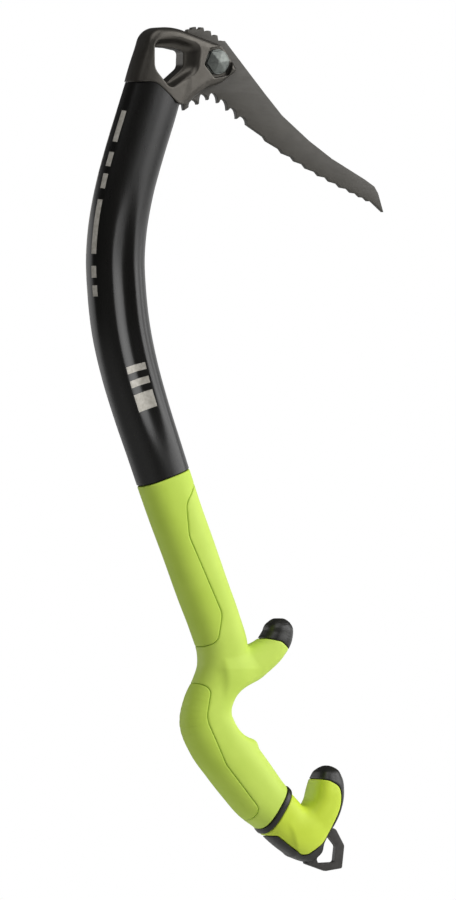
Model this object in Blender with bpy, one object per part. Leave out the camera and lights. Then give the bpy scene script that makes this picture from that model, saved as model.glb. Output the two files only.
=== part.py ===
"""Technical ice axe: curved tube shaft, cast head with a bolted pick, moulded handle with two hooks.

Lengths below are in millimetres and are turned into metres when a mesh is made.
X runs towards the pick tip, Z runs up, Y runs through the thickness.
The origin is the middle of the clip hole in the head, which is where the axe hangs.
"""

import math

import bmesh
import bpy
import numpy as np
from mathutils import Vector

MM = 0.001
GAP = 0.3  # clear space between two separate pieces
SIDES = 20  # sides of a lofted cross section
ROUND = 2.6  # power of the superellipse that every section follows: 2 is an ellipse

# Path of the shaft: x, z, half depth in the XZ plane, half width along Y.
SHAFT_PATH = (
    (-3.0, -2.0, 16.6, 11.6),
    (-11.2, -27.8, 17.0, 11.9),
    (-18.9, -51.0, 17.0, 12.0),
    (-25.7, -74.2, 17.0, 12.0),
    (-30.2, -97.4, 17.1, 12.0),
    (-31.5, -115.0, 17.1, 12.0),
    (-30.7, -132.2, 17.1, 12.0),
    (-27.9, -155.4, 17.1, 12.0),
    (-22.5, -178.6, 16.8, 12.0),
    (-15.2, -201.8, 16.4, 12.0),
    (-6.9, -225.0, 16.0, 12.0),
    (-1.45, -240.3, 15.8, 12.0),
)
# Inside the handle the tube is swaged down and follows the bend of the handle.
SWAGED_PATH = (
    (-1.3, -240.7, 11.0, 8.5),
    (5.7, -259.8, 10.6, 8.4),
    (14.9, -283.0, 10.0, 8.4),
    (23.8, -306.2, 10.0, 8.4),
    (31.3, -325.5, 9.8, 8.4),
    (36.0, -341.0, 9.4, 8.4),
    (36.0, -352.0, 9.2, 8.4),
    (31.6, -364.0, 9.0, 8.4),
    (28.2, -373.0, 9.0, 8.4),
    (28.4, -382.0, 9.0, 8.4),
    (33.0, -393.0, 9.2, 8.4),
    (41.4, -405.4, 9.4, 8.4),
    (51.0, -417.4, 9.4, 8.4),
    (61.3, -427.7, 9.4, 8.4),
)
SHAFT_WALL = 1.6
SHAFT_ROWS = 22
HANDLE_ROWS = 29
# Outside of the handle, same columns.
HANDLE_PATH = (
    (-1.18, -241.05, 15.8, 12.4),
    (5.7, -259.8, 15.4, 13.0),
    (14.9, -283.0, 15.1, 13.4),
    (23.8, -306.2, 14.9, 13.6),
    (31.5, -325.5, 14.6, 13.6),
    (36.3, -341.0, 14.4, 13.4),
    (36.2, -352.0, 14.2, 13.2),
    (31.6, -364.0, 13.7, 13.2),
    (27.6, -373.0, 14.3, 13.4),
    (26.8, -382.0, 15.8, 13.8),
    (31.9, -392.8, 16.5, 14.2),
    (41.3, -404.6, 16.8, 14.5),
    (50.9, -416.3, 16.5, 14.5),
    (60.4, -427.3, 15.7, 14.3),
    (66.9, -432.9, 14.6, 14.0),
)
PAD_DEPTH = 2.6  # depth of the pockets that the soft pads lie in
UPPER_HOOK_PATH = (
    (36.0, -354.0, 11.0, 11.8),
    (47.4, -351.6, 11.8, 11.8),
    (58.0, -346.6, 9.8, 11.4),
    (66.8, -340.0, 8.5, 11.0),
    (71.3, -332.4, 8.2, 10.2),
    (72.0, -326.4, 6.8, 8.6),
    (72.0, -322.9, 3.2, 5.0),
)
FINGER_RIDGE_PATH = (
    (42.0, -398.0, 8.5, 12.0),
    (50.0, -396.6, 7.2, 11.0),
    (54.6, -396.4, 5.0, 9.0),
    (57.0, -396.4, 2.0, 5.5),
)
FINGER_CROOK = ((57.4, -377.2), (17.0, 15.4))  # middle and half sizes of the round hollow above the ridge

# The lower hook unit slides on and off along this direction.
POMMEL_TILT = math.radians(-45.0)
AXIS = (math.cos(POMMEL_TILT), math.sin(POMMEL_TILT))
AXIS_POINT = (68.0, -434.4)
# The spacer ring lies askew to that axis, between two parallel planes.
RING_TILT = math.radians(-32.0)
RING_NORMAL = (math.cos(RING_TILT), math.sin(RING_TILT))
RING_CENTRE = (68.6, -434.2)
RING_WIDTH = 3.3
RING_SIZE = (15.1, 14.4)
POMMEL_BODY_PATH = (
    (70.0, -436.2, 14.2, 13.8),
    (77.9, -443.8, 13.7, 13.6),
    (86.4, -451.6, 12.2, 12.6),
    (91.4, -457.5, 9.5, 10.2),
    (95.0, -462.0, 5.6, 6.2),
)
LOWER_HOOK_PATH = (
    (78.0, -450.0, 10.0, 12.6),
    (87.0, -447.6, 10.6, 13.4),
    (94.6, -440.6, 10.0, 13.8),
    (99.9, -431.6, 9.4, 14.0),
    (101.9, -422.4, 8.9, 13.6),
    (102.4, -415.2, 7.2, 11.8),
    (102.2, -410.6, 4.4, 8.0),
    (102.0, -408.8, 1.8, 3.4),
)
LOWER_HOOK_ROUND = 3.2

BOLT_X, BOLT_Z = 30.8, 0.3
BOLT_RADIUS = 4.0
BOLT_FLATS = 13.0
POCKET_FLATS = 16.4
POCKET_TURN = math.radians(10.0)
BOLT_TURN = math.radians(7.0)
SLOT_HALF = 2.3
PICK_HALF = 2.0
POCKET_FLOOR = 4.5
CHEEK_HALF = 10.8
WASHER_RADIUS = 7.4
WASHER_THICK = 1.0
BOLT_HEAD_THICK = 2.8
NUT_THICK = 4.4

# Foot screw and end plug; distances run along the axis of the lower hook unit, towards the foot.
SCREW_RADIUS = 2.5
SCREW_HEAD_RADIUS = 4.25
SCREW_SEAT = 24.9
SCREW_HEAD_THICK = 5.0
PLUG_START, PLUG_END = -26.0, 12.0
PLUG_SIZE = (7.2, 6.2)
LOOP_HALF = 2.0  # half thickness of the leash loop
WIDE = 40.0  # half length along Y of a cutter that goes right through

# Seam between head and shaft, from the back of the shaft to the pick side.
HEAD_SEAM = ((-45.0, -12.2, 0), (-11.0, -11.4, 9), (4.0, -24.4, 6), (40.0, -25.6, 0))


# ---------------------------------------------------------------- small helpers


def direction(points):
    """Unit tangents of a row of points."""
    tangents = np.gradient(points, axis=0)
    return tangents / np.linalg.norm(tangents, axis=1)[:, None]


def resample(path, count):
    """Rows of a path spread evenly along a smooth curve through them."""
    rows = np.array(path, dtype=float)
    steps = np.linalg.norm(np.diff(rows[:, :2], axis=0), axis=1)
    at = np.concatenate([[0.0], np.cumsum(steps)])
    slopes = np.gradient(rows, at, axis=0)
    wanted = np.linspace(0.0, at[-1], count)
    result = []
    for s in wanted:
        i = int(min(np.searchsorted(at, s, side="right") - 1, len(rows) - 2))
        h = at[i + 1] - at[i]
        t = (s - at[i]) / h
        first = (1 + 2 * t) * (1 - t) ** 2 * rows[i] + t * (1 - t) ** 2 * h * slopes[i]
        second = t * t * (3 - 2 * t) * rows[i + 1] + t * t * (t - 1) * h * slopes[i + 1]
        result.append(first + second)
    return np.array(result)


def section(centre, along, half_depth, half_width, sides, power):
    """One superellipse ring, square to the direction of travel."""
    across = np.array([-along[1], along[0]])
    ring = []
    for k in range(sides):
        angle = 2 * math.pi * (k + 0.5) / sides
        c, s = math.cos(angle), math.sin(angle)
        u = math.copysign(abs(c) ** (2 / power), c) * half_depth
        v = math.copysign(abs(s) ** (2 / power), s) * half_width
        ring.append(Vector((centre[0] + u * across[0], v, centre[1] + u * across[1])) * MM)
    return ring


def skin(name, rings):
    """A closed mesh through rings of the same number of points."""
    bm = bmesh.new()
    rows = [[bm.verts.new(p) for p in ring] for ring in rings]
    n = len(rows[0])
    for upper, lower in zip(rows, rows[1:]):
        for k in range(n):
            bm.faces.new((upper[k], upper[(k + 1) % n], lower[(k + 1) % n], lower[k]))
    bm.faces.new(rows[0])
    bm.faces.new(rows[-1][::-1])
    bmesh.ops.recalc_face_normals(bm, faces=bm.faces)
    mesh = bpy.data.meshes.new(name)
    bm.to_mesh(mesh)
    bm.free()
    return bpy.data.objects.new(name, mesh)


def loft(name, path, count, grow=0.0, sides=SIDES, ends=(None, None), power=ROUND):
    """A body whose superellipse section is swept along a path, grown or shrunk all round."""
    return loft_rows(name, resample(path, count), grow, sides, ends, power)


def loft_rows(name, rows, grow=0.0, sides=SIDES, ends=(None, None), power=ROUND):
    """The same through rows that are already spaced."""
    along = direction(rows[:, :2])
    for index, fixed in zip((0, -1), ends):
        if fixed is not None:
            along[index] = fixed
    rings = [section(r[:2], a, r[2] + grow, r[3] + grow, sides, power) for r, a in zip(rows, along)]
    return skin(name, rings)


def rounded(corners, steps=4):
    """Outline through corners given as x, z, radius, with every corner turned by an arc."""
    points = []
    total = len(corners)
    for i, (x, z, radius) in enumerate(corners):
        here = Vector((x, z))
        back = (Vector(corners[i - 1][:2]) - here).normalized()
        ahead = (Vector(corners[(i + 1) % total][:2]) - here).normalized()
        if radius <= 0:
            points.append(tuple(here))
            continue
        half = back.angle(ahead) / 2
        bisector = (back + ahead).normalized()
        centre = here + bisector * (radius / math.sin(half))
        start = here + back * (radius / math.tan(half)) - centre
        end = here + ahead * (radius / math.tan(half)) - centre
        sweep = start.angle_signed(end)
        for k in range(steps + 1):
            turn = -sweep * k / steps
            c, s = math.cos(turn), math.sin(turn)
            points.append((centre.x + c * start.x - s * start.y, centre.y + s * start.x + c * start.y))
    return points


def prism(name, outline, near, far):
    """A solid over an XZ outline, from Y = near to Y = far."""
    return skin(name, [[Vector((x, y, z)) * MM for x, z in outline] for y in (near, far)])


def plate(name, outline, half, bevel):
    """A plate cut to an XZ outline, with its edges broken by a small round."""
    curve = bpy.data.curves.new(name, "CURVE")
    curve.dimensions = "2D"
    curve.fill_mode = "BOTH"
    curve.extrude = (half - bevel) * MM
    curve.bevel_depth = bevel * MM
    curve.bevel_resolution = 0 if bevel < 1 else 2
    curve.offset = -bevel * MM
    spline = curve.splines.new("POLY")
    spline.points.add(len(outline) - 1)
    for point, (x, z) in zip(spline.points, outline):
        point.co = (x * MM, z * MM, 0.0, 1.0)
    spline.use_cyclic_u = True
    shape = bpy.data.objects.new(name + "_curve", curve)
    mesh = bpy.data.meshes.new_from_object(shape)
    bpy.data.objects.remove(shape)
    bm = bmesh.new()
    bm.from_mesh(mesh)
    bmesh.ops.remove_doubles(bm, verts=bm.verts, dist=0.00001)
    for vert in bm.verts:
        vert.co = Vector((vert.co.x, -vert.co.z, vert.co.y))
    bmesh.ops.recalc_face_normals(bm, faces=bm.faces)
    bm.to_mesh(mesh)
    bm.free()
    return bpy.data.objects.new(name, mesh)


def hexagon(flats, turn):
    radius = flats / math.sqrt(3)
    angles = [turn + math.pi * k / 3 for k in range(6)]
    return [(BOLT_X + radius * math.cos(a), BOLT_Z + radius * math.sin(a)) for a in angles]


def circle(x, z, radius, sides=24):
    angles = [2 * math.pi * k / sides for k in range(sides)]
    return [(x + radius * math.cos(a), z + radius * math.sin(a)) for a in angles]


def ellipse(centre, sizes, sides=40):
    angles = [2 * math.pi * k / sides for k in range(sides)]
    return [(centre[0] + sizes[0] * math.cos(a), centre[1] + sizes[1] * math.sin(a)) for a in angles]


def rod(name, start, end, radius, sides=24):
    """A round bar in the XZ plane from one point to another."""
    start, end = np.array(start), np.array(end)
    along = (end - start) / np.linalg.norm(end - start)
    rings = [section(p, along, radius, radius, sides, 2.0) for p in (start, end)]
    return skin(name, rings)


def on_axis(distance):
    """A point on the axis of the lower hook unit, measured towards the foot."""
    return (AXIS_POINT[0] + distance * AXIS[0], AXIS_POINT[1] + distance * AXIS[1])


def ring_plane(distance):
    """Outline of a box that covers everything beyond a plane of the spacer ring, towards the foot."""
    centre = Vector(RING_CENTRE) + distance * Vector(RING_NORMAL)
    across = Vector((-RING_NORMAL[1], RING_NORMAL[0])) * 60.0
    far = centre + Vector(RING_NORMAL) * 90.0
    return [tuple(p) for p in (centre + across, centre - across, far - across, far + across)]


# ---------------------------------------------------------------- scene plumbing


def material(name, colour, roughness, metallic=0.0):
    made = bpy.data.materials.new(name)
    made.use_nodes = True
    shader = made.node_tree.nodes["Principled BSDF"]
    shader.inputs["Base Color"].default_value = (*colour, 1.0)
    shader.inputs["Roughness"].default_value = roughness
    shader.inputs["Metallic"].default_value = metallic
    made.diffuse_color = (*colour, 1.0)
    return made


def clear():
    for obj in list(bpy.data.objects):
        bpy.data.objects.remove(obj)


def collection(name, hidden=False):
    made = bpy.data.collections.new(name)
    bpy.context.scene.collection.children.link(made)
    made.hide_render = hidden
    return made


def keep(obj, look):
    obj.data.materials.clear()
    obj.data.materials.append(look)
    PARTS.objects.link(obj)
    return obj


def cutter(obj):
    CUTTERS.objects.link(obj)
    obj.display_type = "WIRE"
    return obj


def boolean(target, tool, operation="DIFFERENCE"):
    modifier = target.modifiers.new(operation.title() + " " + tool.name, "BOOLEAN")
    modifier.solver = "EXACT"
    modifier.operation = operation
    modifier.object = tool
    return target


def move_origin(obj, x, y, z):
    """Put the origin on a joint axis without moving the shape."""
    shift = Vector((x, y, z)) * MM
    for vert in obj.data.vertices:
        vert.co -= shift
    obj.location = shift


# ---------------------------------------------------------------- head and pick

HEAD_OUTLINE = (
    (-29.1, -38.0, 0),
    (-12.9, 19.6, 11),
    (2.0, 20.4, 34),
    (34.6, 9.6, 10),
    (43.8, -4.4, 2),
    (33.5, -11.9, 5),
    (24.5, -14.9, 8),
    (15.5, -20.6, 5),
    (8.5, -27.5, 2),
    (4.0, -38.0, 0),
)
CLIP_HOLE = (
    (-9.8, 8.8, 2.4),
    (0.6, 8.2, 12),
    (9.3, 6.4, 2.6),
    (9.0, -3.2, 5),
    (-2.0, -12.4, 2),
    (-9.6, -3.0, 8),
)
CLIP_BOWL = (
    (-11.0, 12.4, 5),
    (3.0, 13.6, 16),
    (17.4, 9.6, 5),
    (15.6, -5.4, 8),
    (-1.6, -15.4, 4),
    (-11.2, -4.0, 8),
)


def head_seam_region(shift, above):
    """Everything above or below the head seam, moved by shift along Z."""
    line = [(x, z + shift) for x, z in seam_line()]
    far = 60.0 if above else -70.0
    outline = line + [(40.0, far), (-45.0, far)]
    return outline


def seam_line():
    (x0, z0, _), (x1, z1, r1), (x2, z2, r2), (x3, z3, _) = HEAD_SEAM
    turned = rounded(((x0, z0, 0), (x1, z1, r1), (x2, z2, r2), (x3, z3, 0), (-45.0, 60.0, 0)), 4)
    return turned[:-1]


def make_clip_hole():
    return cutter(prism("clip_hole_cutter", rounded(CLIP_HOLE), -20.0, 20.0))


def make_bowl(side):
    """A dished recess round the clip hole on one face."""
    inner = [Vector(p) for p in rounded(CLIP_HOLE)]
    outer = [Vector(p) for p in rounded(CLIP_BOWL)]
    rings = []
    for y, share in ((5.4, 0.0), (6.0, 0.42), (8.2, 0.80), (12.4, 1.1)):
        ring = [a.lerp(b, share) for a, b in zip(inner, outer)]
        rings.append([Vector((p.x, side * y, p.y)) * MM for p in ring])
    name = "bowl_cutter_front" if side < 0 else "bowl_cutter_back"
    return cutter(skin(name, rings))


def make_taper():
    """Limits the head to its plan shape, which thins towards the pick."""
    half = ((-60.0, 11.4), (12.0, 10.9), (46.0, 8.4))
    plan = list(half) + [(x, -y) for x, y in reversed(half)]
    rings = [[Vector((x, y, z)) * MM for x, y in plan] for z in (-90.0, 40.0)]
    return cutter(skin("head_taper", rings))


def make_slot():
    corners = ((11.8, 40.0), (11.8, -12.0), (9.9, -22.0), (9.9, -60.0), (70.0, -60.0), (70.0, 40.0))
    return cutter(prism("pick_slot_cutter", corners, -SLOT_HALF, SLOT_HALF))


def make_head(look):
    head = plate("head", rounded(HEAD_OUTLINE), CHEEK_HALF, 3.6)
    boolean(head, make_taper(), "INTERSECT")
    neck_path = SHAFT_PATH[:3]
    neck = cutter(loft("head_neck", ((1.5, 12.0, 14.0, 9.0),) + neck_path, 12))
    boolean(head, neck, "UNION")
    below = cutter(prism("below_head_seam", head_seam_region(GAP / 2, False), -30.0, 30.0))
    boolean(head, below)
    spigot = cutter(loft("head_spigot", neck_path, 8, grow=-SHAFT_WALL - GAP))
    boolean(head, spigot, "UNION")
    for tool in (make_bowl(-1), make_bowl(1), make_clip_hole(), make_slot()):
        boolean(head, tool)
    recess = hexagon(POCKET_FLATS, POCKET_TURN)
    for side, name in ((-1, "front"), (1, "back")):
        boolean(head, cutter(prism("pocket_" + name, recess, side * POCKET_FLOOR, side * 20.0)))
    bore = prism("bolt_bore", circle(BOLT_X, BOLT_Z, BOLT_RADIUS + GAP), -20.0, 20.0)
    boolean(head, cutter(bore))
    return keep(head, look)


# Blunt teeth on top of the pick: both ends of each tip, and the depth of the notch after it.
TOP_TEETH = (
    (13.4, 18.8, 14.6, 19.2, 0.4),
    (16.2, 20.1, 18.7, 20.6, 1.6),
    (21.6, 20.4, 23.6, 20.2, 2.1),
    (26.4, 18.5, 28.2, 18.2, 2.6),
    (30.9, 16.1, 32.5, 15.7, 2.9),
)
# Hooked teeth behind the saw edge: tip, width of its blunt end, and the top of the gullet after it.
HOOK_TEETH = (
    (11.3, -28.0, 2.8, 16.4, -21.9),
    (19.8, -24.6, 1.0, 22.4, -18.4),
    (26.3, -21.9, 0.8, 29.4, -17.6),
    (32.8, -23.6, 1.1, 35.7, -21.3),
    (38.9, -27.9, 1.1, 42.0, -26.4),
    (44.8, -32.7, 1.5, 47.9, -31.3),
)
SAW_TIPS = (
    (51.3, -36.0),
    (64.0, -45.5),
    (74.2, -52.5),
    (82.1, -57.1),
    (89.4, -61.2),
    (97.4, -65.5),
    (104.3, -68.7),
    (111.3, -72.2),
    (118.0, -75.1),
    (123.7, -77.7),
    (128.6, -80.0),
)
SAW_STEP = ((-1.8, 2.7), (-2.4, 2.1))  # from a tip back to the root before it: at the first, at the last
SPINE = ((35.4, 12.6), (37.2, 12.6), (62.8, -18.0), (73.6, -30.4), (90.7, -44.9), (105.3, -55.3))
PICK_NOSE = ((126.6, -67.4), (132.6, -71.4), (135.0, -75.4), (138.3, -86.3), (131.0, -80.0))


def quarter(start, end, upright, steps=3):
    """A quarter of an ellipse that leaves start upright and meets end level, or the other way round."""
    points = []
    for k in range(1, steps + 1):
        angle = math.pi / 2 * k / steps
        fast, slow = math.sin(angle), 1.0 - math.cos(angle)
        share_x, share_z = (slow, fast) if upright else (fast, slow)
        points.append((start[0] + (end[0] - start[0]) * share_x, start[1] + (end[1] - start[1]) * share_z))
    return points


def top_edge():
    """Blunt teeth, each with an upright step behind it and a hollow that rises to the next."""
    line = [(13.2, 16.6)]
    starts = [tooth[:2] for tooth in TOP_TEETH[1:]] + [SPINE[0]]
    for (left_x, left_z, right_x, right_z, drop), following in zip(TOP_TEETH, starts):
        root = (right_x + 0.5, right_z - drop)
        line += [(left_x, left_z), (right_x, right_z), root]
        line += quarter(root, following, False)[:-1]
    return line


def under_edge():
    """Hooked teeth with round gullets, then the saw teeth, from the head to the tip."""
    line = []
    starts = [tooth[:2] for tooth in HOOK_TEETH[1:]] + [SAW_TIPS[0]]
    for (tip_x, tip_z, blunt, gullet_x, gullet_z), following in zip(HOOK_TEETH, starts):
        heel = (tip_x + blunt, tip_z + blunt * 0.65)
        line += [(tip_x, tip_z), heel]
        line += quarter(heel, (gullet_x, gullet_z), True)
        line += quarter((gullet_x, gullet_z), following, False)[:-1]
    for i, (x, z) in enumerate(SAW_TIPS):
        t = i / (len(SAW_TIPS) - 1)
        step_x = SAW_STEP[0][0] + t * (SAW_STEP[1][0] - SAW_STEP[0][0])
        step_z = SAW_STEP[0][1] + t * (SAW_STEP[1][1] - SAW_STEP[0][1])
        if i > 0:
            line.append((x + step_x, z + step_z))
        line.append((x, z))
    return line


def pick_outline():
    back = [(10.6, -23.6), (12.4, -13.0), (12.2, 4.0)]
    return top_edge() + list(SPINE) + list(PICK_NOSE) + under_edge()[::-1] + back


def make_pick(look):
    pick = plate("pick", pick_outline(), PICK_HALF, 0.25)
    bore = cutter(prism("pick_bore", circle(BOLT_X, BOLT_Z, BOLT_RADIUS + GAP), -6.0, 6.0))
    return keep(boolean(pick, bore), look)


def make_pick_fasteners(steel):
    """Hex bolt in the front pocket, its washer, and the nut in the back pocket."""
    washer_near = POCKET_FLOOR + GAP
    washer_far = washer_near + WASHER_THICK
    washer = prism("pick_bolt_washer", circle(BOLT_X, BOLT_Z, WASHER_RADIUS), -washer_far, -washer_near)
    hole = cutter(prism("washer_bore", circle(BOLT_X, BOLT_Z, BOLT_RADIUS + GAP), -20.0, 0.0))
    boolean(washer, hole)
    move_origin(keep(washer, steel), BOLT_X, -washer_near, BOLT_Z)
    head_near = washer_far + GAP
    bolt = prism("pick_bolt", hexagon(BOLT_FLATS, BOLT_TURN), -head_near - BOLT_HEAD_THICK, -head_near)
    shank = cutter(prism("bolt_shank", circle(BOLT_X, BOLT_Z, BOLT_RADIUS), -head_near - 1.0, 9.4))
    boolean(bolt, shank, "UNION")
    keep(bolt, steel)
    socket = cutter(prism("bolt_shank_drill", circle(BOLT_X, BOLT_Z, 1.2, 8), 7.6, 12.0))
    boolean(bolt, socket)
    nut = prism("pick_nut", hexagon(BOLT_FLATS, POCKET_TURN), washer_near, washer_near + NUT_THICK)
    thread = cutter(prism("nut_bore", circle(BOLT_X, BOLT_Z, BOLT_RADIUS + GAP), 0.0, 20.0))
    keep(boolean(nut, thread), steel)


# ---------------------------------------------------------------- shaft


def make_shaft(look):
    """One tube: wide above the handle, swaged down where it runs inside it."""
    wide, swaged = resample(SHAFT_PATH, SHAFT_ROWS), resample(SWAGED_PATH, SHAFT_ROWS)
    shaft = loft_rows("shaft", np.vstack([wide, swaged]))
    shoulder = extended(wide[-2:], tail=-SHAFT_WALL)[-1:]
    hollow = np.vstack([wide[:-1], shoulder, extended(swaged, head=SHAFT_WALL)])
    inside = loft_rows("shaft_inside", extended(hollow)[:-1], grow=-SHAFT_WALL)
    boolean(shaft, cutter(inside))
    above = cutter(prism("above_head_seam", head_seam_region(-GAP / 2, True), -30.0, 30.0))
    return keep(boolean(shaft, above), look)


def extended(rows, head=4.0, tail=4.0):
    """The rows with one more beyond each end, so that a bore breaks through."""
    first, last = rows[0].copy(), rows[-1].copy()
    back = rows[0, :2] - rows[1, :2]
    ahead = rows[-1, :2] - rows[-2, :2]
    first[:2] += head * back / np.linalg.norm(back)
    last[:2] += tail * ahead / np.linalg.norm(ahead)
    return np.vstack([first, rows, last])


# ---------------------------------------------------------------- handle

BACK_PAD = (
    (-40.0, -225.0, 0),
    (40.0, -225.0, 0),
    (16.5, -243.0, 3),
    (8.0, -256.0, 10),
    (9.6, -275.0, 12),
    (30.4, -320.0, 10),
    (28.0, -336.5, 7),
    (17.0, -341.0, 5),
    (-40.0, -330.0, 0),
)
PALM_PAD = (
    (-30.0, -352.0, 0),
    (15.0, -358.4, 4),
    (24.0, -363.5, 5),
    (20.6, -381.0, 14),
    (33.0, -407.5, 14),
    (54.6, -433.6, 5),
    (51.0, -441.4, 3),
    (20.0, -470.0, 0),
    (-30.0, -440.0, 0),
)
CAP_SEAM = (
    (48.0, -334.2),
    (62.0, -334.6),
    (69.4, -336.2),
    (78.0, -342.6),
    (95.0, -342.6),
    (95.0, -310.0),
    (48.0, -310.0),
)


def inset(outline, amount):
    """The outline moved inwards by amount, whichever way round it runs."""
    points = [Vector(p) for p in outline]
    area = sum(a.x * b.y - b.x * a.y for a, b in zip(points, points[1:] + points[:1]))
    way = 1.0 if area > 0 else -1.0
    moved = []
    for i, here in enumerate(points):
        before = (here - points[i - 1]).normalized()
        after = (points[(i + 1) % len(points)] - here).normalized()
        along = (before + after).normalized()
        moved.append((here.x - way * along.y * amount, here.y + way * along.x * amount))
    return moved


def handle_rows():
    """Rows of the outside of the handle, run on past both ends."""
    return extended(resample(HANDLE_PATH, HANDLE_ROWS))


def make_handle_blank(name):
    """Outer shape of the handle without its ridge and hook, cut off square to the spacer ring."""
    blank = loft_rows(name, handle_rows()[1:])
    beyond = prism(name + "_end", ring_plane(-RING_WIDTH / 2 - GAP), -WIDE, WIDE)
    return boolean(blank, cutter(beyond))


def make_pad(name, outline, look):
    """A soft pad that fills its pocket up to the outer surface of the handle."""
    pad = make_handle_blank(name)
    region = cutter(prism(name + "_region", inset(rounded(outline), GAP / 2), -WIDE, WIDE))
    boolean(pad, region, "INTERSECT")
    core = cutter(loft_rows(name + "_core", handle_rows(), grow=-PAD_DEPTH + GAP))
    return keep(boolean(pad, core), look)


def make_pocket(name, outline):
    """The space that a pad fills."""
    pocket = prism(name, inset(rounded(outline), -GAP / 2), -WIDE, WIDE)
    core = cutter(loft_rows(name + "_core", handle_rows(), grow=-PAD_DEPTH))
    return cutter(boolean(pocket, core))


def make_chassis(look):
    chassis = make_handle_blank("handle_chassis")
    boolean(chassis, make_pocket("back_pad_pocket", BACK_PAD))
    boolean(chassis, make_pocket("palm_pad_pocket", PALM_PAD))
    hook = loft("upper_hook", UPPER_HOOK_PATH, 12, ends=((1.0, 0.25), None))
    boolean(hook, cutter(prism("cap_region_wide", inset(CAP_SEAM, -GAP / 2), -WIDE, WIDE)))
    boolean(chassis, cutter(hook), "UNION")
    ridge = cutter(loft("finger_ridge", FINGER_RIDGE_PATH, 6))
    boolean(chassis, ridge, "UNION")
    boolean(chassis, cutter(prism("finger_crook", ellipse(*FINGER_CROOK), -WIDE, WIDE)))
    tube = extended(resample(SWAGED_PATH, SHAFT_ROWS), tail=14.0)
    boolean(chassis, cutter(loft_rows("handle_bore", tube, grow=GAP)))
    return keep(chassis, look)


def make_cap(look):
    cap = loft("upper_hook_cap", UPPER_HOOK_PATH, 12, ends=((1.0, 0.25), None))
    region = cutter(prism("cap_region", inset(CAP_SEAM, GAP / 2), -WIDE, WIDE))
    return keep(boolean(cap, region, "INTERSECT"), look)


def make_ring(look):
    """Spacer between the handle and the lower hook unit."""
    ends = []
    for side in (-1, 1):
        reach = side * RING_WIDTH / 2 / math.cos(RING_TILT - POMMEL_TILT)
        ends.append((RING_CENTRE[0] + reach * AXIS[0], RING_CENTRE[1] + reach * AXIS[1], *RING_SIZE))
    ring = loft("spacer_ring", ends, 2, sides=28, ends=(RING_NORMAL, RING_NORMAL))
    bore = [on_axis(d) + (PLUG_SIZE[0] + 0.5, PLUG_SIZE[1] + 0.5) for d in (-12, 12)]
    return keep(boolean(ring, cutter(loft("ring_bore", bore, 2, ends=(AXIS, AXIS)))), look)


# ---------------------------------------------------------------- lower hook unit

FRAME_SEAM = (
    (50.0, -449.6, 0),
    (67.4, -449.2, 2),
    (84.4, -461.8, 6),
    (97.0, -453.0, 12),
    (107.2, -431.0, 20),
    (105.6, -420.6, 6),
    (99.0, -417.2, 10),
    (80.0, -413.6, 0),
)
FRAME_FAR = ((80.0, -395.0), (140.0, -395.0), (140.0, -490.0), (50.0, -490.0))


def frame_region(amount):
    outline = rounded(FRAME_SEAM + tuple((x, z, 0) for x, z in FRAME_FAR), 3)
    return inset(outline, amount)


def pommel_blank(name):
    """Outer shape of the lower hook unit: stub of the handle and hook."""
    body = loft_rows(name, extended(resample(POMMEL_BODY_PATH, 9), head=9.0)[:-1])
    hook = loft(name + "_hook", LOWER_HOOK_PATH, 18, ends=((1.0, 0.1), None), power=LOWER_HOOK_ROUND)
    boolean(body, cutter(hook), "UNION")
    below = prism(name + "_below_ring", ring_plane(RING_WIDTH / 2 + GAP), -WIDE, WIDE)
    return boolean(body, cutter(below), "INTERSECT")


def insert_socket(name, grow):
    """Space for the nose of the tube's end plug."""
    path = [on_axis(d) + PLUG_SIZE for d in (0.0, PLUG_END + grow)]
    return loft(name, path, 2, grow=grow, ends=(AXIS, AXIS))


def screw_space(name):
    """Clearance for the screw shank and, from below, for its head."""
    shank = rod(name, on_axis(5.0), on_axis(50.0), SCREW_RADIUS + GAP)
    seat = rod(name + "_seat", on_axis(SCREW_SEAT - GAP), on_axis(60.0), SCREW_HEAD_RADIUS + 0.35, 28)
    return cutter(boolean(shank, cutter(seat), "UNION"))


def make_pommel(look):
    pommel = pommel_blank("lower_hook")
    boolean(pommel, cutter(prism("frame_region_wide", frame_region(-GAP / 2), -WIDE, WIDE)))
    boolean(pommel, cutter(insert_socket("insert_socket", GAP)))
    boolean(pommel, screw_space("screw_space_hook"))
    boolean(pommel, cutter(prism("hook_spike_slot", SPIKE_SLOT, -LOOP_HALF - GAP, LOOP_HALF + GAP)))
    return keep(pommel, look)


def make_frame(look):
    frame = pommel_blank("hook_frame")
    boolean(frame, cutter(prism("frame_region", frame_region(GAP / 2), -WIDE, WIDE)), "INTERSECT")
    boolean(frame, screw_space("screw_space_frame"))
    boolean(frame, cutter(prism("spike_slot", SPIKE_SLOT, -LOOP_HALF - GAP, LOOP_HALF + GAP)))
    return keep(frame, look)


SPIKE_OUTLINE = (
    (90.0, -461.5, 1),
    (96.5, -452.5, 2),
    (103.0, -447.0, 2),
    (106.5, -443.0, 3),
    (113.4, -455.4, 3),
    (111.9, -468.6, 1.2),
    (101.5, -470.2, 3),
    (88.0, -465.6, 1),
)
SPIKE_HOLE = (
    (102.9, -449.4, 1.2),
    (107.9, -455.4, 2),
    (106.8, -465.0, 1.6),
    (96.4, -465.4, 1.2),
    (95.6, -463.2, 1.5),
)
SPIKE_SLOT = (
    (88.0, -459.0),
    (96.0, -450.0),
    (109.5, -440.5),
    (130.0, -440.5),
    (130.0, -490.0),
    (88.0, -490.0),
)


def make_spike(look):
    """Steel loop at the foot for clipping a leash."""
    spike = plate("spike_loop", rounded(SPIKE_OUTLINE, 3), LOOP_HALF, 0.4)
    hole = cutter(prism("spike_hole", rounded(SPIKE_HOLE, 3), -5.0, 5.0))
    return keep(boolean(spike, hole), look)


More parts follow.
